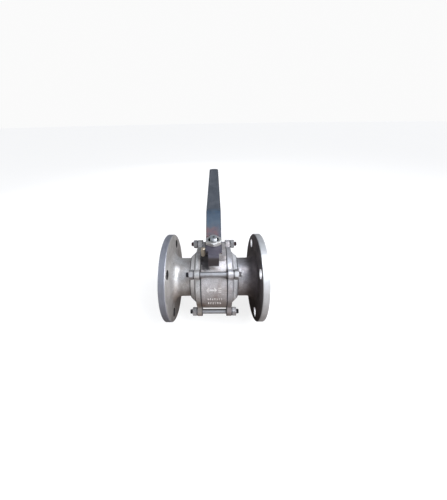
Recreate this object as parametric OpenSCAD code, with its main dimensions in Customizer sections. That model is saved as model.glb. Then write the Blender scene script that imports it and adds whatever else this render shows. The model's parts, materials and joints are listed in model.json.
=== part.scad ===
// Three-piece flanged ball valve with a lever, in millimetres.
// +X is the pipe axis, +Z is the stem axis, and the closed lever points along +Y.
// The origin is the centre of the ball, where the pipe axis crosses the stem axis.

/* [Pipe flanges] */
// Outer diameter of each pipe flange
flange_d = 190.5; // [185:0.5:200]
// Thickness of each pipe flange with its raised face
flange_t = 14.3; // [12:0.1:24]
// Distance between the two raised faces
face_to_face = 203.2; // [200:0.2:230]
// Diameter of the raised face
raised_face_d = 127; // [110:1:130]
// Height of the raised face
raised_face_h = 1.6; // [1:0.1:3]
// Diameter of the flange bolt circle
bolt_circle_d = 152.4; // [148:0.2:156]
// Diameter of each flange bolt hole
bolt_hole_d = 19.05; // [16:0.05:22]

/* [Port and ball] */
// Diameter of the port
port_d = 65; // [50:1:66]
// Diameter of the ball
ball_d = 104; // [102:0.5:105]
// Outer diameter of the neck behind each flange
neck_d = 84; // [80:1:90]

/* [Centre body] */
// Outer diameter of the centre body and of the cap rings
body_d = 134; // [130:0.5:136]
// Length of the centre body along the pipe
body_len = 51; // [48:0.5:54]
// Diameter of the ball cavity
cavity_d = 108; // [106.5:0.5:110]
// Side of the square pad that carries the stem
pad_side = 50; // [49:0.5:50.5]
// Height of the pad above the pipe axis
pad_z = 74; // [72:0.5:75]

/* [Tie studs] */
// Diameter of each tie stud
stud_d = 10; // [8:0.5:11]
// Length of each tie stud
stud_len = 104; // [98:1:112]
// Distance of each tie stud from the pipe axis
stud_radius = 74.8; // [74:0.1:78]
// Width across the flats of the stud nuts
stud_nut_af = 17; // [16:0.5:18]

/* [Stem] */
// Diameter of the stem
stem_d = 20; // [18:0.5:21]
// Width across the two flats that drive the lever
stem_flats = 13; // [11:0.5:15]
// Height of the stem's end above the pipe axis
stem_z = 103.5; // [102:0.5:106]
// Width across the flats of the stem nut and the gland nut
stem_nut_af = 30; // [28:0.5:30]

/* [Lever] */
// Width of the lever bar
lever_w = 32; // [28:0.5:32]
// Thickness of the lever bar
lever_t = 6; // [5:0.5:6]
// Reach of the lever from the stem axis
lever_reach = 452; // [300:1:460]
// Height that the handle is offset above the hub
lever_offset = 37.5; // [30:0.5:60]
// Slope of the handle in degrees
handle_slope = 1.6; // [0:0.1:4]
// Width of the stop tongue at the front of the lever
tongue_w = 20; // [16:0.5:24]

/* [Hidden] */
$fn = 96;

eps = 0.01;
fit_gap = 0.05;      // radial gap of a running fit
loose_gap = 0.1;     // gap round pieces that are clamped or pressed home
edge = 0.8;          // chamfer on the edges of the castings and bores
arc_steps = 12;      // straight steps in each rounded stretch of an outline

// Radii
flange_r = flange_d / 2;
port_r = port_d / 2;
ball_r = ball_d / 2;
neck_r = neck_d / 2;
body_r = body_d / 2;
cavity_r = cavity_d / 2;
stud_r = stud_d / 2;
stem_r = stem_d / 2;

// Stations along the pipe
joint_x = body_len / 2;                     // face between the centre body and a cap
cap_ring_x = joint_x + 10.5;                // outer face of the bolted cap ring
seat_front_x = 31;                          // front face of a seat ring
seat_back_x = 42.5;                         // back of the seat pocket
shoulder_x = 49;                            // small machined shoulder before the neck
shoulder_h = 4.5;                           // its height above the neck
hub_fillet_r = 8;                           // fillet between the bolted ring and the sloping hub
neck_fillet_r = 2.5;                        // fillet between the shoulder and the neck
face_x = face_to_face / 2;
flange_front_x = face_x - raised_face_h;
flange_back_x = face_x - flange_t;
flange_fillet_r = 18;

// Radii in the caps
bowl_r = 50;                                // clearance round the ball inside the cap
seat_r = 44.5;                              // seat pocket
hub_r = 62;                                 // widest point of the hub, at the bolted ring
lug_r = 9.5;                                // rounded end of each bolt lug
lug_root = 16;                              // depth to which a lug runs into the ring
body_edge = 1.2;                            // chamfer at each end of the centre body
stud_hole_r = stud_r + 0.5;
seal_outer_r = cavity_r + 5;
seal_len = 2.5;

// Heights along the stem
collar_bottom_z = 53.5;
collar_top_z = 57.5;
shoulder_bottom_z = 59.5;                   // underside of the body's stem shoulder
packing_bottom_z = 62;
packing_ring_h = 3;
packing_top_z = packing_bottom_z + 3 * packing_ring_h;
gland_top_z = pad_z + 1.5;
spring_h = 1.225;
gland_nut_z = gland_top_z + fit_gap + 2 * spring_h;
gland_nut_h = 5;
tab_washer_z = gland_nut_z + gland_nut_h;
tab_washer_t = 1;
lever_z = tab_washer_z + tab_washer_t;      // underside of the lever hub
stem_nut_z = lever_z + lever_t;
stem_nut_h = 8;

// Radii round the stem
collar_r = 15;
packing_r = 15.2;
packing_bore_r = packing_r + loose_gap;
slot_half_w = 7.1;                          // half width of the drive slot in the ball
slot_floor_z = 43.5;
tang_clear = 0.1;                           // gap on each side of the stem tang in its slot

// Pad details
pad_corner_r = 6;
pad_root_z = 45;                            // inside the ball cavity, where the pad and its bores begin
pad_edge = 1;
pad_hole_circle_r = 21;
pad_hole_r = 2.1;
pad_hole_depth = 11;
stop_r = 4;
stop_shank_r = 2.5;
stop_gap = 0.3;
stop_xy = lever_w / 2 + stop_r + stop_gap;  // one pin on the diagonal stops both ends of the travel
stop_top_z = stem_nut_z + 1;

// Lever outline
tongue_front_y = -46.5;
tongue_bottom_z = 68;
shoulder_y = -22;                           // front end of the full-width hub
tongue_bend_r = 6;                          // bend radii at mid thickness
rise_bend_r = 14;
handle_bend_r = 16;
hub_back_y = 22;                            // start of the rising stretch
rise_end_y = 68;                            // end of the rising stretch
tip_corner_r = 13;

// Stud nuts and washers
washer_t = 2.2;
stud_nut_h = 8.4;
stud_nut_x = cap_ring_x + washer_t;

function unit(v) = v / norm(v);

// Points along a circular arc.
function arc(cx, cy, r, from, to, n = arc_steps) =
    [for (i = [0:n]) let (a = from + (to - from) * i / n) [cx + r * cos(a), cy + r * sin(a)]];

// Points of the arc of radius r that rounds the corner b between a and c.
function round_corner(a, b, c, r, n = arc_steps) =
    let (
        u = unit(a - b),
        v = unit(c - b),
        half = acos(u * v) / 2,
        centre = b + unit(u + v) * r / sin(half),
        p = b + u * r / tan(half) - centre,
        turn = (180 - 2 * half) * sign(u[0] * v[1] - u[1] * v[0])
    )
    [for (i = [0:n]) let (t = -turn * i / n) centre + [
        p[0] * cos(t) - p[1] * sin(t),
        p[0] * sin(t) + p[1] * cos(t)
    ]];

// Normal of a path at point i, lengthened at a corner so that the strip keeps its thickness.
function path_normal(path, i) =
    let (
        last = len(path) - 1,
        d0 = i > 0 ? unit(path[i] - path[i - 1]) : unit(path[1] - path[0]),
        d1 = i < last ? unit(path[i + 1] - path[i]) : d0,
        n0 = [-d0[1], d0[0]],
        n1 = [-d1[1], d1[0]]
    )
    (n0 + n1) / (1 + n0 * n1);

// Outline of a strip of thickness t along a path.
function strip(path, t) =
    let (last = len(path) - 1)
    concat(
        [for (i = [0:last]) path[i] + path_normal(path, i) * t / 2],
        [for (i = [0:last]) path[last - i] - path_normal(path, last - i) * t / 2]
    );

// Turns a shape that stands on +Z so that it points along +X.
module along_x() {
    rotate([0, 90, 0])
        children();
}

// Puts one copy of a shape, built at the pipe axis, on each tie stud's axis.
module at_studs() {
    for (a = [45:90:315])
        rotate([a, 0, 0])
            translate([0, 0, stud_radius])
                children();
}

module rounded_square(side, r) {
    square([side, side - 2 * r], center = true);
    square([side - 2 * r, side], center = true);
    for (x = [-1, 1], y = [-1, 1])
        translate([x * (side / 2 - r), y * (side / 2 - r)])
            circle(r);
}

// Hexagon nut that stands on z = 0, chamfered at its top and, if asked, at its bottom.
module hex_nut(af, h, bore_r, both = true) {
    corner_r = af / 2 / cos(30);
    chamfer = (corner_r - af / 2 + 0.5) * tan(30);
    bottom_r = both ? af / 2 - 0.5 : corner_r;
    bottom_h = both ? chamfer : 0;
    difference() {
        intersection() {
            cylinder(r = corner_r, h = h, $fn = 6);
            rotate_extrude()
                polygon([
                    [0, 0], [bottom_r, 0], [corner_r, bottom_h],
                    [corner_r, h - chamfer], [af / 2 - 0.5, h], [0, h]
                ]);
        }
        translate([0, 0, -1])
            cylinder(r = bore_r, h = h + 2);
        translate([0, 0, h - 0.8])
            cylinder(r1 = bore_r, r2 = bore_r + 0.8 + eps, h = 0.8 + eps);
    }
}

// Hole or shaft with two flats that face +X and -X.
module double_d(r, across, h) {
    intersection() {
        cylinder(r = r, h = h);
        translate([-across / 2, -r - 1, 0])
            cube([across, 2 * r + 2, h]);
    }
}

// Right-hand end cap: bolted ring, hub, neck and pipe flange in one casting.
module end_cap() {
    outline = concat(
        [[bowl_r, joint_x], [body_r - edge, joint_x], [body_r, joint_x + edge]],
        [[body_r, cap_ring_x - edge], [body_r - edge, cap_ring_x]],
        arc(hub_r, cap_ring_x + hub_fillet_r, hub_fillet_r, 270, 225, 6),
        [[neck_r + shoulder_h, shoulder_x]],
        arc(neck_r + neck_fillet_r, shoulder_x + neck_fillet_r, neck_fillet_r, 270, 180, 4),
        arc(neck_r + flange_fillet_r, flange_back_x - flange_fillet_r, flange_fillet_r, 180, 90),
        [[flange_r - 1, flange_back_x], [flange_r, flange_back_x + 1]],
        [[flange_r, flange_front_x - 1], [flange_r - 1, flange_front_x]],
        [[raised_face_d / 2 + 0.4, flange_front_x], [raised_face_d / 2, face_x]],
        [[port_r + edge, face_x], [port_r, face_x - edge]],
        [[port_r, seat_back_x], [seat_r, seat_back_x], [seat_r, seat_front_x], [bowl_r, seat_front_x]]
    );
    difference() {
        union() {
            along_x()
                rotate_extrude()
                    polygon(outline);
            at_studs()
                cap_lug();
        }
        at_studs()
            translate([joint_x - 1, 0, 0])
                along_x()
                    cylinder(r = stud_hole_r, h = cap_ring_x - joint_x + 2);
        for (a = [45:90:315])
            rotate([a, 0, 0])
                translate([flange_back_x - 1, 0, bolt_circle_d / 2])
                    along_x()
                        cylinder(r = bolt_hole_d / 2, h = flange_t + 2);
    }
}

// Ear that carries one tie stud, blended straight into the cap ring.
module cap_lug() {
    translate([joint_x, 0, 0])
        along_x()
            cylinder(r = lug_r, h = cap_ring_x - joint_x);
    translate([joint_x, -lug_r, -lug_root])
        cube([cap_ring_x - joint_x, 2 * lug_r, lug_root]);
}

module end_cap_left() {
    color("#a9a7a4")
        mirror([1, 0, 0])
            end_cap();
}

module end_cap_right() {
    color("#a9a7a4")
        end_cap();
}

module centre_body() {
    shell = [
        [0, -joint_x], [body_r - body_edge, -joint_x], [body_r, body_edge - joint_x],
        [body_r, joint_x - body_edge], [body_r - body_edge, joint_x], [0, joint_x]
    ];
    cavity = [
        [0, -joint_x - 1], [seal_outer_r, -joint_x - 1], [seal_outer_r, seal_len - joint_x],
        [cavity_r, seal_len - joint_x], [cavity_r, joint_x - seal_len],
        [seal_outer_r, joint_x - seal_len], [seal_outer_r, joint_x + 1], [0, joint_x + 1]
    ];
    color("#a3a09c")
        difference() {
            union() {
                along_x()
                    rotate_extrude()
                        polygon(shell);
                stem_pad();
            }
            along_x()
                rotate_extrude()
                    polygon(cavity);
            stem_bores();
            pad_holes();
        }
}

// Square pad with rounded corners and a stepped upper edge.
module stem_pad() {
    translate([0, 0, pad_root_z])
        linear_extrude(pad_z - pad_root_z - pad_edge)
            rounded_square(pad_side, pad_corner_r);
    translate([0, 0, pad_z - pad_edge - eps])
        linear_extrude(pad_edge + eps)
            rounded_square(pad_side - pad_edge, pad_corner_r);
}

module stem_bores() {
    translate([0, 0, pad_root_z])
        cylinder(r = collar_r + 0.6, h = shoulder_bottom_z - pad_root_z);
    translate([0, 0, pad_root_z])
        cylinder(r = stem_r + fit_gap, h = pad_z);
    translate([0, 0, packing_bottom_z])
        cylinder(r = packing_bore_r, h = pad_z);
}

module pad_holes() {
    for (a = [45:90:315])
        rotate([0, 0, a])
            translate([pad_hole_circle_r, 0, pad_z - pad_hole_depth])
                cylinder(r = pad_hole_r, h = pad_hole_depth + 1, $fn = 48);
    translate([-stop_xy, -stop_xy, pad_z - 12])
        cylinder(r = stop_shank_r, h = 13, $fn = 48);
}

module body_seal(side) {
    gap = loose_gap;
    color("#e8e6df")
        translate([side > 0 ? joint_x - seal_len + gap : -joint_x, 0, 0])
            along_x()
                difference() {
                    cylinder(r = seal_outer_r - gap, h = seal_len - gap);
                    translate([0, 0, -1])
                        cylinder(r = cavity_r + 0.6, h = seal_len + 2);
                }
}

module body_seal_left() {
    body_seal(-1);
}

module body_seal_right() {
    body_seal(1);
}

// Seat ring whose front is hollowed to the ball's radius.
module seat_ring() {
    color("#f1efe8")
        difference() {
            translate([seat_front_x, 0, 0])
                along_x()
                    difference() {
                        cylinder(r = seat_r - loose_gap, h = seat_back_x - seat_front_x - loose_gap);
                        translate([0, 0, -1])
                            cylinder(r = port_r + 0.5, h = seat_back_x);
                    }
            sphere(r = ball_r + fit_gap, $fn = 192);
        }
}

module seat_ring_left() {
    mirror([1, 0, 0])
        seat_ring();
}

module seat_ring_right() {
    seat_ring();
}

// Ball with its bore across the pipe, as it stands when the valve is closed.
module ball() {
    color("#d9dadb")
        difference() {
            sphere(r = ball_r, $fn = 192);
            translate([0, ball_r + 1, 0])
                rotate([90, 0, 0])
                    cylinder(r = port_r, h = 2 * ball_r + 2);
            translate([0, 0, slot_floor_z])
                intersection() {
                    cylinder(r = collar_r + 3, h = ball_r);
                    translate([-ball_r, -slot_half_w, 0])
                        cube([2 * ball_r, 2 * slot_half_w, ball_r]);
                }
        }
}

module stem() {
    tang_half = slot_half_w - tang_clear;
    color("#c4c5c6")
        union() {
            intersection() {
                translate([0, 0, slot_floor_z + 0.5])
                    cylinder(r = collar_r, h = collar_bottom_z - slot_floor_z - 0.5 + eps);
                translate([-ball_r, -tang_half, 0])
                    cube([2 * ball_r, 2 * tang_half, ball_r + 10]);
            }
            translate([0, 0, collar_bottom_z])
                cylinder(r = collar_r, h = collar_top_z - collar_bottom_z);
            translate([0, 0, collar_top_z - eps])
                cylinder(r = stem_r, h = tab_washer_z - collar_top_z + eps);
            stem_end();
        }
}

// Threaded end of the stem, flatted on two sides, chamfered and centre drilled.
module stem_end() {
    h = stem_z - tab_washer_z + eps;
    translate([0, 0, tab_washer_z - eps])
        difference() {
            intersection() {
                double_d(stem_r, stem_flats, h);
                rotate_extrude()
                    polygon([[0, 0], [stem_r, 0], [stem_r, h - 1.2], [stem_r - 1.2, h], [0, h]]);
            }
            translate([0, 0, h - 2])
                cylinder(r1 = 0.2, r2 = 1.8, h = 2 + eps, $fn = 32);
        }
}

// Flat ring that stands on z = bottom.
module ring(outer, inner, bottom, h) {
    translate([0, 0, bottom])
        difference() {
            cylinder(r = outer, h = h);
            translate([0, 0, -1])
                cylinder(r = inner, h = h + 2);
        }
}

module stem_thrust_washer() {
    color("#ece9e0")
        ring(collar_r, stem_r + loose_gap, collar_top_z + fit_gap, shoulder_bottom_z - collar_top_z - fit_gap);
}

module packing_ring(index) {
    color("#e6e3d8")
        ring(packing_r, stem_r + fit_gap, packing_bottom_z + index * packing_ring_h, packing_ring_h);
}

module packing_ring_lower() {
    packing_ring(0);
}

module packing_ring_middle() {
    packing_ring(1);
}

module packing_ring_upper() {
    packing_ring(2);
}

module packing_gland() {
    color("#b5b6b8")
        ring(packing_r, stem_r + fit_gap, packing_top_z, gland_top_z - packing_top_z);
}

// Conical disc spring that stands on its rim at z = 0.
module disc_spring() {
    inner = stem_r + 0.3;
    outer = collar_r;
    thick = 0.9;
    rise = spring_h - thick;
    rotate_extrude()
        polygon([[outer, 0], [outer, thick], [inner, spring_h], [inner, rise]]);
}

module disc_spring_lower() {
    color("#8d8f92")
        translate([0, 0, gland_top_z + fit_gap])
            disc_spring();
}

module disc_spring_upper() {
    color("#8d8f92")
        translate([0, 0, gland_nut_z])
            mirror([0, 0, 1])
                disc_spring();
}

module gland_nut() {
    color("#b8b8b6")
        translate([0, 0, gland_nut_z])
            rotate([0, 0, 30])
                hex_nut(stem_nut_af, gland_nut_h, stem_r + fit_gap);
}

// Washer keyed to the stem's flats, with one ear folded down on a flat of the gland nut.
module lock_tab_washer() {
    ear_w = 9;
    ear_turn = -30;
    ear_y = stem_nut_af / 2 + loose_gap;
    color("#9a9b9c")
        union() {
            translate([0, 0, tab_washer_z])
                difference() {
                    union() {
                        cylinder(r = 14.8, h = tab_washer_t);
                        rotate([0, 0, ear_turn])
                            translate([-ear_w / 2, 0, 0])
                                cube([ear_w, ear_y + tab_washer_t, tab_washer_t]);
                    }
                    translate([0, 0, -1])
                        double_d(stem_r + loose_gap, stem_flats + 2 * loose_gap, tab_washer_t + 2);
                }
            rotate([0, 0, ear_turn])
                translate([-ear_w / 2, ear_y, tab_washer_z - 3.5])
                    cube([ear_w, tab_washer_t, 3.5 + tab_washer_t]);
        }
}

// Side view of the bent lever bar: tongue, hub, rising stretch and handle.
function lever_path() =
    let (
        mid_z = lever_z + lever_t / 2,
        front = tongue_front_y + lever_t / 2,
        p0 = [front, tongue_bottom_z],
        p1 = [front, mid_z],
        p2 = [hub_back_y, mid_z],
        p3 = [rise_end_y, mid_z + lever_offset],
        reach = lever_reach - rise_end_y,
        p4 = [lever_reach, mid_z + lever_offset + reach * tan(handle_slope)]
    )
    concat(
        [p0],
        round_corner(p0, p1, p2, tongue_bend_r),
        round_corner(p1, p2, p3, rise_bend_r),
        round_corner(p2, p3, p4, handle_bend_r),
        [p4]
    );

// Top view of the lever bar.
module lever_plan() {
    half = lever_w / 2;
    neck = tongue_w / 2;
    right = concat(
        [[neck, tongue_front_y - 1], [neck, shoulder_y - 8]],
        arc(half - 4, shoulder_y - 2, 4, -60, 0, 4),
        arc(half - tip_corner_r, lever_reach - tip_corner_r, tip_corner_r, 0, 90, 10)
    );
    left = [for (i = [len(right) - 1:-1:0]) [-right[i][0], right[i][1]]];
    polygon(concat(right, left));
}

module lever() {
    color("#4d525a")
        difference() {
            intersection() {
                rotate([90, 0, 90])
                    translate([0, 0, -lever_w])
                        linear_extrude(2 * lever_w)
                            polygon(strip(lever_path(), lever_t));
                linear_extrude(200)
                    lever_plan();
            }
            translate([0, 0, lever_z - 1])
                double_d(stem_r + loose_gap, stem_flats + 2 * loose_gap, lever_t + 2);
        }
}

module stem_nut() {
    color("#c9c8c4")
        translate([0, 0, stem_nut_z])
            rotate([0, 0, 30])
                hex_nut(stem_nut_af, stem_nut_h, stem_r + fit_gap);
}

// Pin pressed into the pad, on which the lever's edges stop when closed and when open.
module stop_pin() {
    color("#a08d74")
        translate([-stop_xy, -stop_xy, 0]) {
            translate([0, 0, pad_z - 11.5])
                cylinder(r = stop_shank_r - 0.02, h = 11.5 + eps, $fn = 48);
            translate([0, 0, pad_z])
                cylinder(r = stop_r, h = stop_top_z - pad_z - 0.8, $fn = 48);
            translate([0, 0, stop_top_z - 0.8 - eps])
                cylinder(r1 = stop_r, r2 = stop_r - 0.8, h = 0.8 + eps, $fn = 48);
        }
}

// Four separate studs, each chamfered at both ends.
module tie_studs() {
    half = stud_len / 2;
    color("#b9b9b7")
        at_studs()
            along_x()
                rotate_extrude($fn = 48)
                    polygon([
                        [0, -half], [stud_r - 1, -half], [stud_r, 1 - half],
                        [stud_r, half - 1], [stud_r - 1, half], [0, half]
                    ]);
}

module stud_nuts() {
    color("#bdbbb6")
        at_studs()
            translate([stud_nut_x, 0, 0])
                along_x()
                    rotate([0, 0, 30])
                        hex_nut(stud_nut_af, stud_nut_h, stud_r + fit_gap);
}

module stud_nuts_left() {
    mirror([1, 0, 0])
        stud_nuts();
}

module stud_nuts_right() {
    stud_nuts();
}

// Split spring washers under the stud nuts.
module spring_washers() {
    color("#8f8f8d")
        at_studs()
            translate([cap_ring_x, 0, 0])
                along_x()
                    difference() {
                        cylinder(r = stud_r + 3.6, h = washer_t, $fn = 48);
                        translate([0, 0, -1])
                            cylinder(r = stud_r + 0.2, h = washer_t + 2, $fn = 48);
                        translate([0, -0.6, -1])
                            rotate([0, 0, 20])
                                cube([stud_d, 1.2, washer_t + 2]);
                    }
}

module spring_washers_left() {
    mirror([1, 0, 0])
        spring_washers();
}

module spring_washers_right() {
    spring_washers();
}

centre_body();
end_cap_left();
end_cap_right();
body_seal_left();
body_seal_right();
seat_ring_left();
seat_ring_right();
ball();
stem();
stem_thrust_washer();
packing_ring_lower();
packing_ring_middle();
packing_ring_upper();
packing_gland();
disc_spring_lower();
disc_spring_upper();
gland_nut();
lock_tab_washer();
lever();
stem_nut();
stop_pin();
tie_studs();
stud_nuts_left();
stud_nuts_right();
spring_washers_left();
spring_washers_right();
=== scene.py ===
"""Looks of the flanged ball valve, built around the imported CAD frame.

Lengths are in metres in the frame's own axes: +X along the pipe, +Z up the stem, closed lever along +Y.
A new piece is worked out in millimetres, and MM turns them into metres.
"""
import json
import math

import bpy
from mathutils import Matrix, Vector


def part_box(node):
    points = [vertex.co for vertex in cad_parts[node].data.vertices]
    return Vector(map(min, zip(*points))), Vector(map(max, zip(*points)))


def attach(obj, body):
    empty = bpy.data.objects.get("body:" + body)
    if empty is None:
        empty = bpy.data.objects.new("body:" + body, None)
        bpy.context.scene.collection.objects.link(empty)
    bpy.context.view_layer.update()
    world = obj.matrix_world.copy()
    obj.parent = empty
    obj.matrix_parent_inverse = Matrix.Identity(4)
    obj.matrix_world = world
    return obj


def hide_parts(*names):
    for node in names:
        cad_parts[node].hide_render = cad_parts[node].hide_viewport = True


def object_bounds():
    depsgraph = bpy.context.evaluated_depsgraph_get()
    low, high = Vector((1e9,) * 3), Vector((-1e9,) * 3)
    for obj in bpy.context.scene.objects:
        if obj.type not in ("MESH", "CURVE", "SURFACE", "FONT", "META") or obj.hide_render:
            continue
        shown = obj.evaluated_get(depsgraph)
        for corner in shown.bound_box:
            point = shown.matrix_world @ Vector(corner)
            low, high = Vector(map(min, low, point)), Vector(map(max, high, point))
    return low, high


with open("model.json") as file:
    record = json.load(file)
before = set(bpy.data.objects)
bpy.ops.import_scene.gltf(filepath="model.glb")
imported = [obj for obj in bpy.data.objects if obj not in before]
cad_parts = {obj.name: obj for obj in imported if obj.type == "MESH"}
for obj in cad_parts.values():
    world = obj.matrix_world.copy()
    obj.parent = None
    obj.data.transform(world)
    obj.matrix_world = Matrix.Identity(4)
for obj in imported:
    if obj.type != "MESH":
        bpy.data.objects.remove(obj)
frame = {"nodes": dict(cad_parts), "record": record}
NODES = frame["nodes"]
cad_box = [list(corner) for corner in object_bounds()]
scene = bpy.context.scene
scene.view_settings.view_transform = "Standard"
MM = 0.001

# Sizes that the frame gives
JOINT_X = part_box("centre_body")[1].x            # face between the centre body and an end cap
BODY_R = -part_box("centre_body")[0].z
FACE_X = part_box("end_cap_right")[1].x           # raised face of a flange
FLANGE_R = -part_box("end_cap_right")[0].z
STUD_END_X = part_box("tie_studs")[1].x
STEM_TOP_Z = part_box("stem")[1].z
LEVER_HALF_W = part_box("lever")[1].x
BOLT_PATTERN = next(
    mount["dims"] for mount in frame["record"]["mounts"] if mount["name"] == "inlet_flange"
)
BOLT_AT = BOLT_PATTERN["pcd_mm"] * MM / 2 * math.sqrt(0.5)  # each bolt hole is this far out along Y and Z
BOLT_HOLE_R = BOLT_PATTERN["hole_r_mm"] * MM

# Features within a node, where the CAD has them
PORT_R = 0.0325
RING_X = 0.0360                                 # outer face of a cap's bolted ring
SHOULDER_X = 0.0490                             # small machined shoulder before the neck
FLANGE_BACK_X = FACE_X - 0.0143
STEM_R = 0.010

# Limits between finishes of a cap, which are only painted on it
# the dark line round the hub is painted shade, as of a step
HUB_LINE_R = 0.0560                             # dark line round the hub
RIM_FROM_R = FLANGE_R - 0.00095                 # the turned rim of the flange starts here
FRONT_FROM_X = FACE_X - 0.0018                  # and its turned front here


# ---------------------------------------------------------------- camera

def make_camera():
    """The photograph's camera: a short lens, 42 degrees above the valve and tipped up a little."""
    elevation, azimuth, roll, tip = (math.radians(a) for a in (42.45, 0.72, -0.97, 9.62))
    distance = 0.44006
    place = distance * Vector((
        math.sin(azimuth) * math.cos(elevation),
        -math.cos(azimuth) * math.cos(elevation),
        math.sin(elevation),
    ))
    ahead = -place.normalized()
    right = ahead.cross(Vector((0, 0, 1))).normalized()
    up = right.cross(ahead)
    look = ahead * math.cos(tip) + up * math.sin(tip)
    top = up * math.cos(tip) - ahead * math.sin(tip)
    side = right * math.cos(roll) + top * math.sin(roll)
    over = top * math.cos(roll) - right * math.sin(roll)
    data = bpy.data.cameras.new("photo_camera")
    data.sensor_width = 36
    data.lens = 13.84272
    data.shift_x = 0.0197
    data.shift_y = -0.0124
    data.clip_start = 0.01
    data.clip_end = 200
    camera = bpy.data.objects.new("photo_camera", data)
    scene.collection.objects.link(camera)
    camera.matrix_world = Matrix((
        (side.x, over.x, -look.x, place.x),
        (side.y, over.y, -look.y, place.y),
        (side.z, over.z, -look.z, place.z),
        (0, 0, 0, 1),
    ))
    scene.camera = camera


# ---------------------------------------------------------------- material tools

class Tree:
    """A material's node tree, with short calls for the nodes used here."""

    def __init__(self, name):
        self.material = bpy.data.materials.new(name)
        self.material.use_nodes = True
        self.nodes = self.material.node_tree.nodes
        self.links = self.material.node_tree.links
        self.nodes.clear()
        out = self.nodes.new("ShaderNodeOutputMaterial")
        self.shader = self.nodes.new("ShaderNodeBsdfPrincipled")
        self.links.new(self.shader.outputs[0], out.inputs[0])
        self.place = self.nodes.new("ShaderNodeTexCoord").outputs["Object"]
        split = self.nodes.new("ShaderNodeSeparateXYZ")
        self.links.new(self.place, split.inputs[0])
        self.x, self.y, self.z = split.outputs
        self.normal = None

    def put(self, socket, value):
        if isinstance(value, bpy.types.NodeSocket):
            self.links.new(value, socket)
        else:
            socket.default_value = value

    def math(self, operation, a, b=0.0, clamp=False):
        node = self.nodes.new("ShaderNodeMath")
        node.operation = operation
        node.use_clamp = clamp
        self.put(node.inputs[0], a)
        self.put(node.inputs[1], b)
        return node.outputs[0]

    def plus(self, a, b, clamp=False):
        return self.math("ADD", a, b, clamp)

    def minus(self, a, b):
        return self.math("SUBTRACT", a, b)

    def times(self, a, b):
        return self.math("MULTIPLY", a, b)

    def most(self, a, b):
        return self.math("MAXIMUM", a, b)

    def size(self, a):
        return self.math("ABSOLUTE", a)

    def above(self, a, limit):
        """1 where a is over limit, otherwise 0."""
        return self.math("GREATER_THAN", a, limit)

    def below(self, a, limit):
        """1 where a is under limit, otherwise 0."""
        return self.math("LESS_THAN", a, limit)

    def radius(self, a, b):
        """Distance from an axis, from the two coordinates across it."""
        return self.math("SQRT", self.plus(self.times(a, a), self.times(b, b)))

    def join(self, x, y, z):
        node = self.nodes.new("ShaderNodeCombineXYZ")
        for socket, value in zip(node.inputs, (x, y, z)):
            self.put(socket, value)
        return node.outputs[0]

    def noise(self, size, detail=3.0, rough=0.55, place=None, warp=0.0):
        """Noise whose features are about size metres across."""
        node = self.nodes.new("ShaderNodeTexNoise")
        self.links.new(place or self.place, node.inputs["Vector"])
        node.inputs["Scale"].default_value = 1 / size
        node.inputs["Detail"].default_value = detail
        node.inputs["Roughness"].default_value = rough
        node.inputs["Distortion"].default_value = warp
        return node.outputs["Fac"]

    def ramp(self, value, low, high, start=0.0, end=1.0):
        """Smooth step from start at low to end at high, held flat outside."""
        node = self.nodes.new("ShaderNodeMapRange")
        node.clamp = True
        node.interpolation_type = "SMOOTHSTEP"
        for socket, setting in zip(node.inputs, (value, low, high, start, end)):
            self.put(socket, setting)
        return node.outputs[0]

    def line(self, value, at, outer, inner, strength=1.0):
        """A line where value is near at: full within inner of it, gone beyond outer."""
        return self.ramp(self.size(self.minus(value, at)), outer, inner, 0.0, strength)

    def mix(self, share, a, b):
        """Colours or numbers a and b, with b's share from 0 to 1."""
        node = self.nodes.new("ShaderNodeMix")
        node.data_type = "RGBA"
        self.put(node.inputs[0], share)
        for socket, value in ((node.inputs[6], a), (node.inputs[7], b)):
            self.put(socket, (*value, 1) if isinstance(value, tuple) else value)
        return node.outputs[2]

    def crevice(self, reach):
        """1 in the open, falling to 0 deep in corners and slots."""
        node = self.nodes.new("ShaderNodeAmbientOcclusion")
        node.samples = 8
        node.inputs["Distance"].default_value = reach
        return node.outputs["AO"]

    def bump(self, height, strength, depth):
        node = self.nodes.new("ShaderNodeBump")
        node.inputs["Strength"].default_value = strength
        node.inputs["Distance"].default_value = depth
        self.links.new(height, node.inputs["Height"])
        if self.normal is not None:
            self.links.new(self.normal, node.inputs["Normal"])
        self.normal = node.outputs[0]

    def finish(self, color, metallic=1.0, roughness=0.5, specular=0.5):
        self.put(self.shader.inputs["Base Color"], (*color, 1) if isinstance(color, tuple) else color)
        self.put(self.shader.inputs["Metallic"], metallic)
        self.put(self.shader.inputs["Roughness"], roughness)
        self.shader.inputs["Specular IOR Level"].default_value = specular
        if self.normal is not None:
            self.links.new(self.normal, self.shader.inputs["Normal"])
        return self.material


def scaled(color, factor, limit=2.0):
    return tuple(min(c * factor, limit) for c in color)


# ---------------------------------------------------------------- castings

MACHINED = (0.56, 0.56, 0.555)
# dark of the seams and of painted shade and shadow
SEAM_AND_SHADE_DARK = (0.022, 0.020, 0.022)


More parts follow.
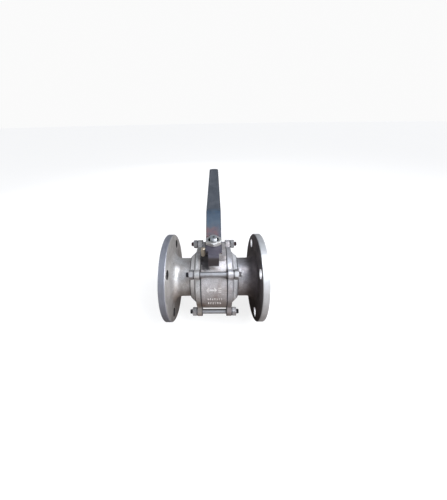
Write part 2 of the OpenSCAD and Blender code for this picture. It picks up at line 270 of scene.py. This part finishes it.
def casting_skin(t, light, dull, stain_and_shade):
    """Tone of a casting: cloudy grey with pale streaks, dark specks and brown patches; brown low down is
    painted shade and a painted reflection of a brown floor, and brown in corners is dirt and painted shade.

    Returned with it are the noises and the crevice mask, for dirt and painted shade, that its callers use
    again."""
    cloud = t.noise(0.016, 4, 0.6)
    patch = t.noise(0.034, 3, 0.55, warp=0.6)
    grain = t.noise(0.0013, 3, 0.62)
    speck = t.noise(0.0036, 3, 0.7)
    streak = t.noise(0.004, 4, 0.65, t.join(t.times(t.x, 2.2), t.times(t.y, 0.5), t.times(t.z, 0.5)))
    # crevices darkened by ambient occlusion: dirt and painted shade
    crevice_dirt_and_shade = t.ramp(t.crevice(0.012), 0.80, 0.20)
    # brown low down: painted shade and a painted reflection of a brown floor
    low = t.ramp(t.z, 0.024, -0.040)
    brown_stain_and_shade = t.plus(t.times(low, 0.80), t.ramp(patch, 0.45, 0.68, 0.0, 0.45), clamp=True)
    brown_stain_and_shade = t.most(brown_stain_and_shade, t.times(crevice_dirt_and_shade, 0.9))
    tone = t.mix(t.ramp(cloud, 0.36, 0.66), light, dull)
    tone = t.mix(t.ramp(streak, 0.52, 0.72, 0.0, 0.35), tone, scaled(light, 1.4))
    tone = t.mix(t.ramp(speck, 0.42, 0.60, 0.28, 0.0), tone, scaled(light, 0.55))
    tone = t.mix(brown_stain_and_shade, tone, stain_and_shade)
    tone = t.mix(t.ramp(grain, 0.40, 0.62, 0.30, 0.0), tone, (0.10, 0.09, 0.08))
    return tone, cloud, grain, streak, crevice_dirt_and_shade


def blackened(t, tone, cloud, crevice_dirt_and_shade, seams_and_painted_shade, smooth):
    """Tone, metal and roughness once dark seams and painted shade have blackened the skin and dulled it."""
    tone = t.mix(t.times(seams_and_painted_shade, 0.96), tone, SEAM_AND_SHADE_DARK)
    metal = t.ramp(seams_and_painted_shade, 0.0, 1.0, 0.62, 0.1)
    rough = t.ramp(cloud, 0.3, 0.7, smooth, smooth + 0.14)
    rough = t.plus(rough, t.times(t.most(crevice_dirt_and_shade, seams_and_painted_shade), 0.2))
    return tone, metal, rough


def body_cast(name, light, dull, stain_and_shade):
    """Cast centre body or its marks: dark seams at the two joints, and a painted shadow of the lever's tongue
    round the stop pin's foot.
    """
    t = Tree(name)
    tone, cloud, grain, _, crevice_dirt_and_shade = casting_skin(t, light, dull, stain_and_shade)
    seam = t.ramp(t.size(t.x), JOINT_X - 0.0017, JOINT_X - 0.0005)
    # painted shadow that the lever's tongue casts on the body, to its left
    painted_shadow_from = t.radius(t.plus(t.x, 0.0160), t.minus(t.z, 0.0660))
    ragged = t.ramp(t.noise(0.006, 4, 0.55), 0.3, 0.7, -0.0025, 0.0025)
    painted_shadow = t.ramp(t.plus(painted_shadow_from, ragged), 0.0165, 0.0100)
    in_front = t.ramp(t.y, -0.012, -0.022)
    seams_and_painted_shade = t.most(seam, t.times(painted_shadow, in_front))
    tone, metal, rough = blackened(t, tone, cloud, crevice_dirt_and_shade, seams_and_painted_shade, 0.36)
    t.bump(grain, 0.45, 0.0004)
    return t.finish(tone, metal, rough)


def machined(t, side, reach, across, painted_rim_tone):
    """Where a cap is turned bright: rim, front and bore. Returns the share, the tone and the lathe marks."""
    on_rim = t.above(reach, RIM_FROM_R)
    share = t.most(on_rim, t.above(t.times(t.x, float(side)), FRONT_FROM_X))
    share = t.most(share, t.below(reach, PORT_R + 0.001))
    circles = t.noise(0.0009, 2, 0.7, t.join(reach, 0.0, 0.0))
    rings = t.noise(0.0006, 2, 0.7, t.join(t.x, t.times(t.y, 0.01), t.times(t.z, 0.01)))
    marks = t.mix(t.above(across, FRONT_FROM_X), rings, circles)
    worn = t.noise(0.02, 4, 0.6)
    # the turned rim takes its cap's painted rim tone: painted light on the right cap, painted shade on the
    # left
    tone = t.mix(t.times(on_rim, t.below(across, FRONT_FROM_X)), MACHINED, painted_rim_tone)
    dulled = t.plus(t.ramp(worn, 0.4, 0.75, 0.0, 0.20), t.ramp(marks, 0.35, 0.7, 0.0, 0.15))
    tone = t.mix(dulled, tone, (0.10, 0.095, 0.09))
    return share, tone, marks


def cap_cast(name, side, light, dull, stain_and_shade, painted_rim_tone, painted_back_tone, hole, shade, back_x, back_r, smooth):
    """Cast end cap. side is -1 on the left and 1 on the right.

    The rim, back and hole tones, for the turned rim, the back of the flange and its bolt holes, are painted
    light
    and shade: the left cap's back is painted lit and its rim and holes shaded; the right cap's back is
    painted shaded, its rim lit and its holes pale as the backdrop seen through them. shade is how much of the
    back's tone is left low down and high up, a painted shade darker low down. The back begins over the
    stretch back_x along the pipe and back_r out from it."""
    t = Tree(name)
    tone, cloud, grain, streak, crevice_dirt_and_shade = casting_skin(t, light, dull, stain_and_shade)
    reach = t.radius(t.y, t.z)
    across = t.size(t.x)

    # painted highlight: the hub between the bolted ring and the shoulder is painted paler, in streaks
    hub = t.times(t.ramp(across, RING_X + 0.0015, RING_X + 0.0050),
                  t.ramp(across, SHOULDER_X, SHOULDER_X - 0.0020))
    hub = t.times(hub, t.ramp(streak, 0.3, 0.7, 0.45, 0.85))
    tone = t.mix(hub, tone, scaled(light, 1.55, 0.95))
    knocks = t.ramp(t.noise(0.0055, 2, 0.5, warp=1.2), 0.70, 0.745, 0.0, 0.75)
    tone = t.mix(knocks, tone, (0.06, 0.055, 0.06))

    # painted light and shade on the back of the flange: lit on the left cap, shaded on the right, darker low
    # down
    tone_left = t.ramp(t.z, -0.080, 0.060, *shade)
    back_share = t.times(t.ramp(across, *back_x), t.ramp(reach, *back_r))
    back_tone = t.mix(t.ramp(cloud, 0.3, 0.7), painted_back_tone, scaled(painted_back_tone, 0.7))
    tone = t.mix(back_share, tone, t.mix(tone_left, (0.03, 0.025, 0.022), back_tone))
    # painted light and shade in the bolt holes: dark shade on the left cap, pale as the backdrop seen through
    # on the right
    hole_at = t.radius(t.minus(t.size(t.y), BOLT_AT), t.minus(t.size(t.z), BOLT_AT))
    in_hole = t.times(t.below(hole_at, BOLT_HOLE_R + 0.000275), t.above(across, FLANGE_BACK_X + 0.0001))
    tone = t.mix(in_hole, tone, hole)

    seam = t.ramp(across, JOINT_X + 0.0021, JOINT_X + 0.0007)
    # painted shade: dark lines at the machined shoulder and round the hub, where a step would shade
    shoulder_shade = t.times(t.line(across, SHOULDER_X - 0.0004, 0.0016, 0.0006), t.below(reach, 0.049))
    hub_step_shade = t.times(t.line(reach, HUB_LINE_R, 0.0012, 0.0004, 0.55), t.below(across, 0.048))
    seams_and_painted_shade = t.most(t.most(seam, shoulder_shade), hub_step_shade)
    tone, metal, rough = blackened(t, tone, cloud, crevice_dirt_and_shade, seams_and_painted_shade, smooth)

    turned, bright, marks = machined(t, side, reach, across, painted_rim_tone)
    tone = t.mix(turned, tone, bright)
    rough = t.mix(turned, rough, t.ramp(marks, 0.2, 0.8, 0.30, 0.46))
    t.bump(t.mix(turned, grain, t.times(marks, 0.35)), 0.40, 0.0004)
    return t.finish(tone, metal, rough)


# ---------------------------------------------------------------- turned steel, paint and the rest

def steel_turned(name, color, stain_and_shade, roughness, axis="z", soil=0.3, detail=None):
    """Turned or drawn steel with fine rings round an axis, a little staining, and brown in crevices that is
    dirt and painted shade.

    detail, if given, is a function that adds the piece's own marks to the tone."""
    t = Tree(name)
    along = {"x": t.x, "z": t.z}[axis]
    others = {"x": (t.y, t.z), "z": (t.x, t.y)}[axis]
    fine = t.noise(0.0004, 2, 0.7, t.join(along, *(t.times(other, 0.02) for other in others)))
    blot = t.noise(0.006, 4, 0.6)
    # crevices darkened by ambient occlusion: dirt and painted shade
    crevice_dirt_and_shade = t.ramp(t.crevice(0.006), 0.8, 0.2)
    share = t.most(t.ramp(blot, 0.5, 0.75, 0.0, soil), t.times(crevice_dirt_and_shade, 0.85))
    tone = t.mix(share, color, stain_and_shade)
    tone = t.mix(t.ramp(fine, 0.4, 0.7, 0.0, 0.25), tone, scaled(color, 0.6))
    if detail:
        tone = detail(t, tone)
    t.bump(fine, 0.12, 0.0002)
    return t.finish(tone, 0.85, t.ramp(blot, 0.3, 0.7, roughness, roughness + 0.14))


def stud_ends(t, tone):
    """Dark ends on the studs, reddish on the back ones; the front upper stud's right end is bare."""
    past_nut = t.ramp(t.size(t.x), STUD_END_X - 0.0085, STUD_END_X - 0.0065)
    dark = t.most(t.most(t.below(t.x, 0.0), t.below(t.z, 0.0)), t.above(t.y, 0.0))
    end_tone = t.mix(t.above(t.y, 0.0), (0.030, 0.030, 0.038), (0.085, 0.040, 0.040))
    return t.mix(t.times(t.times(past_nut, dark), 0.9), tone, end_tone)


def nut_bore_shade(t, tone):
    """Painted shade on the thread inside a nut on the stem."""
    return t.mix(t.below(t.radius(t.x, t.y), STEM_R + 0.0004), tone, (0.03, 0.03, 0.03))


def centre_drill_shade(t, tone):
    """Painted shade in the centre hole of the stem's top, and a little round it."""
    hole = t.times(t.ramp(t.radius(t.x, t.y), 0.0028, 0.0020), t.above(t.z, STEM_TOP_Z - 0.003))
    return t.mix(t.times(hole, 0.95), tone, (0.02, 0.02, 0.02))


def lever_paint():
    """Dark slate paint on flat bar: a painted blue sky reflection on the rise, rubbed red behind the nut,
    painted shade on the bent-down tongue, chipped at the edges.
    """
    t = Tree("lever_paint_worn")
    cloud = t.noise(0.026, 4, 0.6)
    clouded = t.ramp(cloud, 0.35, 0.7)
    along = t.plus(t.y, t.ramp(t.noise(0.018, 3, 0.55), 0.2, 0.8, -0.010, 0.010))
    slant = t.plus(along, t.times(t.x, -0.35))
    streak = t.noise(0.0024, 3, 0.65, t.join(t.x, t.times(t.y, 0.06), t.times(t.z, 0.06)))
    grey = t.mix(clouded, (0.044, 0.051, 0.061), (0.071, 0.077, 0.089))
    grey = t.mix(t.ramp(streak, 0.42, 0.75, 0.0, 0.55), grey, (0.026, 0.030, 0.040))
    # painted reflection of a blue sky on the rising part
    painted_sky_blue = t.mix(clouded, (0.032, 0.052, 0.080), (0.052, 0.074, 0.100))
    tone = t.mix(t.ramp(slant, 0.090, 0.062), grey, painted_sky_blue)
    red = t.mix(t.ramp(t.noise(0.013, 3, 0.5), 0.32, 0.70), (0.130, 0.066, 0.066), (0.090, 0.074, 0.082))
    rubbed = t.times(t.ramp(along, 0.048, 0.026), t.ramp(t.x, 0.015, 0.002, 0.25, 1.0))
    tone = t.mix(t.times(rubbed, t.ramp(along, 0.004, 0.014)), tone, red)
    hub = t.mix(clouded, (0.042, 0.039, 0.052), (0.068, 0.062, 0.080))
    tone = t.mix(t.ramp(along, 0.014, 0.004), tone, hub)
    # painted shade on the tongue's bent-down face
    tongue_shade = t.times(t.ramp(t.z, 0.0872, 0.0840), t.ramp(t.y, -0.036, -0.041))
    tone = t.mix(tongue_shade, tone, (0.036, 0.030, 0.031))
    edge = t.ramp(t.size(t.x), LEVER_HALF_W - 0.0022, LEVER_HALF_W - 0.0004)
    chipped = t.times(edge, t.ramp(t.noise(0.004, 4, 0.7), 0.52, 0.62))
    chips = t.ramp(t.noise(0.0075, 5, 0.72), 0.685, 0.72)
    bare = t.most(chipped, t.times(chips, 0.7))
    tone = t.mix(t.times(edge, 0.55), tone, (0.016, 0.017, 0.022))
    tone = t.mix(t.times(bare, 0.6), tone, (0.12, 0.115, 0.12))
    t.bump(t.noise(0.0016, 3, 0.6), 0.30, 0.0003)
    t.bump(t.minus(1.0, bare), 0.5, 0.0002)
    return t.finish(tone, t.times(bare, 0.6), t.ramp(cloud, 0.3, 0.7, 0.50, 0.66), 0.28)


def polished():
    """Polished ball with fine hairlines round its bore's axis and faint smears."""
    t = Tree("ball_polished_steel")
    hair = t.noise(0.0007, 2, 0.6, t.join(t.times(t.x, 0.05), t.y, t.times(t.z, 0.05)))
    smear = t.noise(0.02, 4, 0.6)
    tone = t.mix(t.ramp(smear, 0.4, 0.7, 0.0, 0.4), (0.83, 0.84, 0.85), (0.70, 0.70, 0.71))
    t.bump(hair, 0.05, 0.0001)
    return t.finish(tone, 1.0, t.ramp(smear, 0.3, 0.7, 0.08, 0.16))


def ptfe():
    """Off-white PTFE with faint turning rings."""
    t = Tree("ptfe_white")
    cloud = t.noise(0.012, 3, 0.5)
    rings = t.noise(0.0005, 2, 0.6, t.join(t.radius(t.y, t.z), 0.0, 0.0))
    tone = t.mix(t.ramp(cloud, 0.35, 0.7), (0.80, 0.79, 0.74), (0.86, 0.85, 0.81))
    t.bump(rings, 0.15, 0.0002)
    return t.finish(tone, 0.0, t.ramp(cloud, 0.3, 0.7, 0.42, 0.52))


MATERIALS = {
    "body": body_cast("body_cast_steel", (0.61, 0.59, 0.60), (0.50, 0.475, 0.475), (0.27, 0.205, 0.17)),
    # painted highlight: the raised marks are painted much paler than the casting they stand on
    "mark": body_cast("raised_mark_painted_highlight", (0.92, 0.90, 0.90), (0.84, 0.82, 0.81), (0.78, 0.72, 0.68)),
    # each cap's rim, back and hole tones are painted light and shade
    "cap_left": cap_cast(
        "cap_left_cast_steel", -1, (0.62, 0.62, 0.62), (0.50, 0.485, 0.475), (0.30, 0.25, 0.21),
        painted_rim_tone=(0.28, 0.29, 0.33), painted_back_tone=(0.57, 0.55, 0.53), hole=(0.06, 0.055, 0.055),
        shade=(0.45, 1.30), back_x=(0.066, 0.084), back_r=(0.046, 0.060), smooth=0.28),
    "cap_right": cap_cast(
        "cap_right_cast_steel", 1, (0.60, 0.60, 0.63), (0.47, 0.45, 0.46), (0.22, 0.18, 0.165),
        painted_rim_tone=(0.55, 0.555, 0.56), painted_back_tone=(0.175, 0.155, 0.158), hole=(0.85, 0.85, 0.85),
        shade=(0.10, 1.25), back_x=(0.054, 0.078), back_r=(0.0, 0.001), smooth=0.36),
    "nut": steel_turned("nut_bright_steel", (0.72, 0.71, 0.69), (0.28, 0.24, 0.18), 0.30,
                        soil=0.5, detail=nut_bore_shade),
    "stud_nut": steel_turned("stud_nut_steel", (0.42, 0.415, 0.42), (0.16, 0.125, 0.11), 0.42,
                             axis="x", soil=0.6),
    "stud": steel_turned("stud_bright_steel", (0.36, 0.365, 0.38), (0.18, 0.12, 0.10), 0.42,
                         axis="x", soil=0.45, detail=stud_ends),
    "stem": steel_turned("stem_turned_steel", (0.50, 0.52, 0.54), (0.14, 0.13, 0.125), 0.36,
                         soil=0.35, detail=centre_drill_shade),
    "gland": steel_turned("gland_turned_steel", (0.50, 0.50, 0.50), (0.20, 0.16, 0.13), 0.34),
    "spring": steel_turned("spring_dull_steel", (0.14, 0.14, 0.145), (0.07, 0.055, 0.05), 0.42, soil=0.4),
    "pin": steel_turned("stop_pin_stained_steel", (0.46, 0.40, 0.32), (0.28, 0.19, 0.11), 0.42, soil=0.6),
    "lever": lever_paint(),
    "ball": polished(),
    "ptfe": ptfe(),
}
NODES_OF = {
    "body": ["centre_body"],
    "cap_left": ["end_cap_left"],
    "cap_right": ["end_cap_right"],
    "nut": ["gland_nut", "stem_nut"],
    "stud_nut": ["stud_nuts_left", "stud_nuts_right"],
    "stud": ["tie_studs"],
    "stem": ["stem"],
    "gland": ["packing_gland"],
    "spring": ["disc_spring_lower", "disc_spring_upper", "lock_tab_washer",
               "spring_washers_left", "spring_washers_right"],
    "pin": ["stop_pin"],
    "lever": ["lever"],
    "ball": ["ball"],
    "ptfe": ["body_seal_left", "body_seal_right", "seat_ring_left", "seat_ring_right",
             "stem_thrust_washer", "packing_ring_lower", "packing_ring_middle", "packing_ring_upper"],
}
EDGE_ROUND_MM = {"lever": 0.8, "lock_tab_washer": 0.2}


def round_edges(obj, width):
    """Rounds the sharp edges of a CAD node, whose faces are first welded to each other."""
    weld = obj.modifiers.new("weld", "WELD")
    weld.merge_threshold = 2e-6
    bevel = obj.modifiers.new("edge", "BEVEL")
    bevel.width = width
    bevel.segments = 2
    bevel.limit_method = "ANGLE"
    bevel.angle_limit = math.radians(32)
    bevel.harden_normals = True


def dress_frame():
    """Gives each CAD node its material, and rounds the edges that need it."""
    for key, names in NODES_OF.items():
        for name in names:
            for slot in NODES[name].material_slots:
                slot.material = MATERIALS[key]
    for name, width in EDGE_ROUND_MM.items():
        round_edges(NODES[name], width * MM)


# ---------------------------------------------------------------- new pieces

class Shell:
    """Vertices and faces of several closed shapes, collected into one piece."""

    def __init__(self):
        self.verts = []
        self.faces = []

    def add(self, verts, faces):
        base = len(self.verts)
        self.verts += verts
        self.faces += [tuple(base + i for i in face) for face in faces]

    def piece(self, name, body, material):
        mesh = bpy.data.meshes.new(name)
        mesh.from_pydata(self.verts, [], self.faces)
        mesh.validate()
        for polygon in mesh.polygons:
            polygon.use_smooth = True
        mesh.materials.append(MATERIALS[material])
        obj = bpy.data.objects.new(name, mesh)
        scene.collection.objects.link(obj)
        mesh.set_sharp_from_angle(angle=math.radians(35))
        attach(obj, body)
        return obj


def band(first, second, count):
    """Faces between two closed rings of count points, which begin at first and second."""
    faces = []
    for i in range(count):
        j = (i + 1) % count
        faces.append((first + i, first + j, second + j, second + i))
    return faces


def capped(rings, count):
    """Faces of a closed shape made of that many rings of count points: both ends, and the bands between."""
    faces = []
    for k in range(rings - 1):
        faces += band(k * count, (k + 1) * count, count)
    faces.append(tuple(reversed(range(count))))
    last = (rings - 1) * count
    faces.append(tuple(range(last, last + count)))
    return faces


def lathe(rows, segments, place):
    """Closed turned shape. Each row is a station and a radius, which may be a function of the angle."""
    verts = []
    for at, radius in rows:
        for i in range(segments):
            angle = 2 * math.pi * i / segments
            verts.append(place(at, radius(angle) if callable(radius) else radius, angle))
    return verts, capped(len(rows), segments)


def thread_radius(at, major, pitch, depth):
    """Radius of a right-hand thread at a station along its axis, as a function of angle."""
    flat = 0.14         # share of the pitch that is flat at the crest, and the same at the root

    def radius(angle):
        turn = (at / pitch - angle / (2 * math.pi)) % 1.0
        rise = (abs(2 * turn - 1) - flat) / (1 - 2 * flat)
        return major - depth * (1 - min(max(rise, 0.0), 1.0))

    return radius


def cut_to(limit, radius):
    return lambda angle: min(limit, radius(angle))


def threaded_rows(start, end, major, pitch, depth, free_end, chamfer=1.0):
    """Rows of a threaded stretch, eight to a turn, chamfered towards the station free_end."""
    steps = 8
    count = int(round(abs(end - start) / pitch * steps))
    rows = []
    for k in range(count + 1):
        at = start + (end - start) * k / count
        limit = major - chamfer + abs(free_end - at)
        rows.append((at, cut_to(limit, thread_radius(at, major, pitch, depth))))
    return rows


def make_studs():
    """Four studs with modelled threads at both ends, through the nuts."""
    stud_r, pitch, depth = 5.0, 1.5, 0.85
    half = STUD_END_X / MM
    thread_from = 37.0
    runout = 0.8
    circle_r = 74.8
    rows = threaded_rows(-half, -thread_from, stud_r, pitch, depth, -half)
    rows += [(x, stud_r) for x in (runout - thread_from, -25.0, 0.0, 25.0, thread_from - runout)]
    rows += threaded_rows(thread_from, half, stud_r, pitch, depth, half)
    shell = Shell()
    for n in range(4):
        turn = math.radians(45 + 90 * n)
        y = -circle_r * math.sin(turn)
        z = circle_r * math.cos(turn)

        def place(at, r, angle, y=y, z=z):
            return (at * MM, (y + r * math.cos(angle)) * MM, (z + r * math.sin(angle)) * MM)

        shell.add(*lathe(rows, 40, place))
    obj = shell.piece("tie_studs_threaded", "valve_body", "stud")
    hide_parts("tie_studs")


def make_stem():
    """Stem with its tang, collar, shank, threaded end between two flats, and centre-drilled tip."""
    tang_half, flats_half = 7.0, 6.5
    bottom, tang_top, collar_top, flats_from, thread_from = 44.0, 53.5, 57.5, 83.0, 89.5
    top = STEM_TOP_Z / MM
    stem_r = STEM_R / MM
    collar_r, chamfer = 15.0, 0.4
    hair = 0.0001       # the least step along the axis, where the section changes at once
    rows = [
        (bottom, collar_r - chamfer), (bottom + chamfer, collar_r), (tang_top, collar_r),
        (tang_top + hair, collar_r), (collar_top - chamfer, collar_r), (collar_top, collar_r - chamfer),
    ]
    rows += [(z, stem_r) for z in (collar_top, 60.0, 75.0, flats_from, flats_from + hair, 89.0)]
    rows += threaded_rows(thread_from, top, stem_r, 1.5, 0.9, top, chamfer=1.2)
    rows += [(top, 1.8), (top - 2.0, 0.25)]

    def place(at, r, angle):
        x = r * math.cos(angle)
        y = r * math.sin(angle)
        if at <= tang_top:
            y = max(-tang_half, min(tang_half, y))
        if at > flats_from:
            x = max(-flats_half, min(flats_half, x))
        return (x * MM, y * MM, at * MM)

    shell = Shell()
    shell.add(*lathe(rows, 96, place))
    obj = shell.piece("stem_threaded", "lever_and_stem", "stem")
    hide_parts("stem")


def on_body(x, arc, lift):
    """Point over the front of the centre body: x along the pipe and arc length up from its equator, in mm."""
    body_r = BODY_R / MM
    angle = arc / body_r
    r = body_r + lift
    return (x * MM, -r * math.cos(angle) * MM, r * math.sin(angle) * MM)


def raised_mark(outline):
    """A raised cast mark with drafted sides on the body's curve, from a convex outline of (x, arc) points."""
    height, draft, sink = 1.3, 0.30, 0.4
    cx = sum(p[0] for p in outline) / len(outline)
    cy = sum(p[1] for p in outline) / len(outline)

    def ring(inset, lift):
        points = []
        for x, y in outline:
            reach = math.hypot(x - cx, y - cy) or 1.0
            k = max(reach - inset, 0.05) / reach
            points.append(on_body(cx + (x - cx) * k, cy + (y - cy) * k, lift))
        return points

    rings = [ring(0, -sink), ring(0, 0.0), ring(draft * 0.5, height * 0.75), ring(draft * 1.3, height)]
    return sum(rings, []), capped(len(rings), len(outline))


def make_marks():
    """Generic raised marks of the casting: a two-way arrow, three short bars and two rows of beads."""
    shell = Shell()

    def at_angle(degrees):
        """Arc length from the body's equator up to that angle."""
        return BODY_R / MM * math.radians(degrees)

    arrow_at = at_angle(19.5)
    shaft_half, wing = 1.7, 5.2
    shaft_steps = 6
    lower = [(-10.5 + 11 * k / shaft_steps, arrow_at - shaft_half) for k in range(shaft_steps + 1)]
    shell.add(*raised_mark(lower + [(x, arrow_at + shaft_half) for x, _ in reversed(lower)]))
    for tip_x, wing_x in ((-15.5, -10.5), (5.5, 0.5)):
        head = [(tip_x, arrow_at), (wing_x, arrow_at + wing), (wing_x, arrow_at), (wing_x, arrow_at - wing)]
        shell.add(*raised_mark(head if tip_x < wing_x else head[::-1]))

    bar_half = 0.8
    for k in (-1, 0, 1):
        at = arrow_at + 4.0 * k
        lower = [(x, at - bar_half) for x in (8.0, 11.0, 14.0)]
        shell.add(*raised_mark(lower + [(x, at + bar_half) for x, _ in reversed(lower)]))

    def bead(x, at, wide, tall):
        """A raised bead, longer up the body than it is wide."""
        sides = 12
        turns = [2 * math.pi * k / sides for k in range(sides)]
        shell.add(*raised_mark([(x + wide * math.cos(a), at + tall * math.sin(a)) for a in turns]))

    for k in range(7):
        bead(-12 + 4.4 * k, at_angle(1.0), 1.2, 2.2)
    for k in range(6):
        bead(-11.5 + 4.6 * k, at_angle(-10.0), 1.4, 2.6)
    shell.piece("cast_marks", "valve_body", "mark")


# ---------------------------------------------------------------- stage

def make_floor():
    """Pale floor just under the flanges. It glows, but neither lights nor is mirrored in the valve."""
    radius, sides = 30, 64
    floor_z = cad_box[0][2] - 0.0003
    turns = [2 * math.pi * k / sides for k in range(sides)]
    mesh = bpy.data.meshes.new("floor")
    mesh.from_pydata([(radius * math.cos(a), radius * math.sin(a), floor_z) for a in turns], [],
                     [tuple(range(sides))])
    floor = bpy.data.objects.new("floor", mesh)
    scene.collection.objects.link(floor)
    t = Tree("floor_pale")
    t.shader.inputs["Emission Color"].default_value = (1, 1, 1, 1)
    t.shader.inputs["Emission Strength"].default_value = 0.80
    mesh.materials.append(t.finish((0.22, 0.22, 0.22), 0.0, 0.95, 0.1))
    floor.visible_glossy = False
    floor.visible_diffuse = False


def make_backdrop():
    """Pale dome behind everything, seen by the camera alone."""
    bpy.ops.mesh.primitive_uv_sphere_add(segments=48, ring_count=24, radius=28)
    dome = bpy.context.object
    dome.name = "backdrop"
    pale = bpy.data.materials.new("backdrop_pale")
    pale.use_nodes = True
    nodes = pale.node_tree.nodes
    nodes.clear()
    out = nodes.new("ShaderNodeOutputMaterial")
    glow = nodes.new("ShaderNodeEmission")
    glow.inputs[0].default_value = (0.96, 0.96, 0.96, 1)
    pale.node_tree.links.new(glow.outputs[0], out.inputs[0])
    dome.data.materials.append(pale)
    dome.visible_glossy = False
    dome.visible_diffuse = False
    dome.visible_shadow = False
    dome.visible_transmission = False


UNDER = (0.26, 0.21, 0.19)
HORIZON = (0.88, 0.84, 0.84)
ABOVE = (0.66, 0.71, 0.80)


def make_world():
    """Soft surroundings: pale in front, bluish above, brown under foot, dimmer behind and to the left.

    A brighter upright strip stands to the right."""
    world = bpy.data.worlds.new("studio")
    scene.world = world
    world.use_nodes = True
    nodes = world.node_tree.nodes
    links = world.node_tree.links
    nodes.clear()
    out = nodes.new("ShaderNodeOutputWorld")
    background = nodes.new("ShaderNodeBackground")
    coord = nodes.new("ShaderNodeTexCoord")
    split = nodes.new("ShaderNodeSeparateXYZ")
    links.new(coord.outputs["Generated"], split.inputs[0])
    x, y, z = split.outputs

    def ramp(socket, low, high, start, end):
        node = nodes.new("ShaderNodeMapRange")
        node.interpolation_type = "SMOOTHSTEP"
        links.new(socket, node.inputs[0])
        for i, value in enumerate((low, high, start, end), 1):
            node.inputs[i].default_value = value
        return node.outputs[0]

    def combine(operation, a, b):
        node = nodes.new("ShaderNodeMath")
        node.operation = operation
        links.new(a, node.inputs[0])
        links.new(b, node.inputs[1])
        return node.outputs[0]

    tones = nodes.new("ShaderNodeValToRGB")
    links.new(ramp(z, -1, 1, 0, 1), tones.inputs[0])
    stops = ((0.03, UNDER), (0.35, HORIZON), (0.58, HORIZON), (0.80, ABOVE))
    elements = tones.color_ramp.elements
    while len(elements) < len(stops):
        elements.new(0.5)
    for element, (at, tone) in zip(elements, stops):
        element.position = at
        element.color = (*tone, 1)
    strip = combine("MULTIPLY", ramp(x, 0.36, 0.50, 0, 1), ramp(x, 0.86, 0.68, 0, 1.5))
    sideways = combine("ADD", ramp(x, -0.8, 0.7, 0.38, 1.20), strip)
    depth = ramp(y, 0.60, -0.15, 0.24, 1.0)
    links.new(tones.outputs[0], background.inputs[0])
    links.new(combine("MULTIPLY", sideways, depth), background.inputs[1])
    links.new(background.outputs[0], out.inputs[0])


def area(name, place, size, power, color, tall=None, glossy=True, diffuse=True):
    """Soft lamp aimed at the valve: a disk of that size, or a rectangle where tall is given."""
    data = bpy.data.lights.new(name, "AREA")
    data.shape = "RECTANGLE" if tall else "DISK"
    data.size = size
    if tall:
        data.size_y = tall
    data.energy = power
    data.color = color
    lamp = bpy.data.objects.new(name, data)
    scene.collection.objects.link(lamp)
    lamp.visible_glossy = glossy
    lamp.visible_diffuse = diffuse
    lamp.location = place
    lamp.rotation_mode = "QUATERNION"
    lamp.rotation_quaternion = (-Vector(place)).to_track_quat("-Z", "Y")


def make_lamps():
    area("key", (1.5, -0.35, 0.9), 1.1, 32, (0.97, 0.985, 1.0), tall=1.6)
    area("window", (0.85, -0.95, 1.05), 0.35, 13, (0.93, 0.97, 1.0), tall=0.9)
    area("above", (0.45, -0.30, 1.40), 0.5, 7.5, (0.90, 0.92, 1.0))
    area("left", (-1.5, 0.10, 0.20), 0.8, 15, (0.95, 0.97, 1.0))
    area("overhead", (0.34, -0.26, 1.40), 0.40, 1.0, (0.97, 0.98, 1.0), diffuse=False)
    area("behind", (-0.3, 1.6, 0.8), 0.9, 8, (0.97, 0.98, 1.0), glossy=False)


make_camera()
dress_frame()
make_studs()
make_stem()
make_marks()
make_floor()
make_backdrop()
make_world()
make_lamps()
